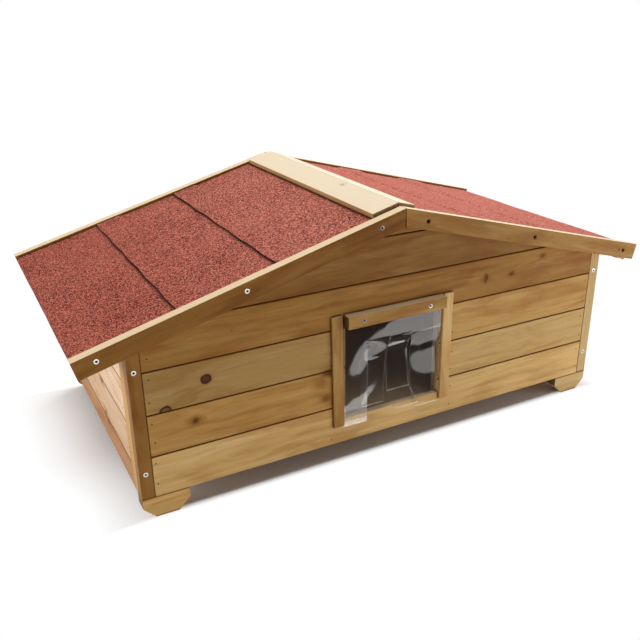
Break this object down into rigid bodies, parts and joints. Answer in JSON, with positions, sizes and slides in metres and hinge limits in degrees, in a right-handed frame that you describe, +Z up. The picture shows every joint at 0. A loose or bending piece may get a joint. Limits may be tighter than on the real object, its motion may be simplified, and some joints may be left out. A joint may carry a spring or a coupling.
{
  "type": "outdoor cat house",
  "caption": "Low gabled timber house for a cat, boarded in tongue and groove, on chamfered feet, with a felted lift-off roof and a doorway hung with a slit clear curtain.",
  "frame": {"origin": "on the ground, under the middle of the whole house", "axes": "+X to the right along the gabled front wall, +Y from the front wall to the back wall, +Z up"},
  "size_m": [1.0514, 0.536, 0.4372],
  "materials": {
    "front_boarding": "stained softwood, satin",
    "side_boarding": "stained softwood, satin",
    "stained_battens": "stained softwood, satin",
    "pale_cap": "weathered pale softwood",
    "inner_battens": "bare sawn softwood",
    "board_panels": "plain panel board",
    "roofing_felt": "mineral granules, matt",
    "clear_sheet": "clear flexible sheet, glossy",
    "screw_steel": "bright zinc"
  },
  "bodies": {
    "house": {"front_board_1": "front_boarding", "front_board_2_left": "front_boarding", "front_board_2_right": "front_boarding", "front_board_3_left": "front_boarding", "front_board_3_right": "front_boarding", "front_board_4": "front_boarding", "front_board_5": "front_boarding", "front_board_6": "front_boarding", "back_boards": "front_boarding", "left_wall_board_1": "side_boarding", "left_wall_board_2": "side_boarding", "left_wall_board_3": "side_boarding", "left_wall_board_4": "side_boarding", "right_wall_board_1": "side_boarding", "right_wall_board_2": "side_boarding", "right_wall_board_3": "side_boarding", "right_wall_board_4": "side_boarding", "front_left_stile": "stained_battens", "front_right_stile": "stained_battens", "back_stiles": "stained_battens", "left_wall_stiles": "stained_battens", "right_wall_stiles": "stained_battens", "corner_battens": "inner_battens", "rake_battens": "inner_battens", "door_jamb_battens": "inner_battens", "side_wall_battens": "inner_battens", "floor_bearers": "inner_battens", "floor_panel": "board_panels", "front_left_foot": "stained_battens", "front_right_foot": "stained_battens", "back_left_foot": "stained_battens", "back_right_foot": "stained_battens", "door_left_trim": "stained_battens", "door_right_trim": "stained_battens", "door_header": "stained_battens", "curtain_band": "clear_sheet", "corner_screws": "screw_steel", "header_screws": "screw_steel", "foot_screws": "screw_steel"},
    "roof": {"roof_panel_left": "board_panels", "roof_panel_right": "board_panels", "felt_left_eave": "roofing_felt", "felt_left_middle": "roofing_felt", "felt_left_ridge": "roofing_felt", "felt_right_eave": "roofing_felt", "felt_right_middle": "roofing_felt", "felt_right_ridge": "roofing_felt", "barge_front_left": "stained_battens", "barge_front_right": "stained_battens", "barge_back_left": "stained_battens", "barge_back_right": "stained_battens", "ridge_cap_left": "pale_cap", "ridge_cap_right": "pale_cap", "ridge_batten": "inner_battens", "eave_battens": "inner_battens", "barge_screws": "screw_steel"},
    "strip_1": {"curtain_strip_1": "clear_sheet"},
    "strip_2": {"curtain_strip_2": "clear_sheet"},
    "strip_3": {"curtain_strip_3": "clear_sheet"},
    "strip_4": {"curtain_strip_4": "clear_sheet"}
  },
  "joints": [
    {"name": "roof_lift", "type": "slide", "parent": "house", "child": "roof", "axis": [0, 0, 1], "range_m": [0, 0.25]},
    {"name": "strip_1_swing", "type": "hinge", "parent": "house", "child": "strip_1", "pos_m": [-0.0787, -0.2508, 0.2143], "axis": [1, 0, 0], "range_deg": [-80, 80], "stiffness_Nm_per_rad": 0.04, "deforming": ["curtain_strip_1"]},
    {"name": "strip_2_swing", "type": "hinge", "parent": "house", "child": "strip_2", "pos_m": [-0.0341, -0.2508, 0.2143], "axis": [1, 0, 0], "range_deg": [-80, 80], "stiffness_Nm_per_rad": 0.04, "deforming": ["curtain_strip_2"]},
    {"name": "strip_3_swing", "type": "hinge", "parent": "house", "child": "strip_3", "pos_m": [0.0086, -0.2508, 0.2143], "axis": [1, 0, 0], "range_deg": [-80, 80], "stiffness_Nm_per_rad": 0.04, "deforming": ["curtain_strip_3"]},
    {"name": "strip_4_swing", "type": "hinge", "parent": "house", "child": "strip_4", "pos_m": [0.0603, -0.2508, 0.2143], "axis": [1, 0, 0], "range_deg": [-80, 80], "stiffness_Nm_per_rad": 0.04, "deforming": ["curtain_strip_4"]}
  ]
}
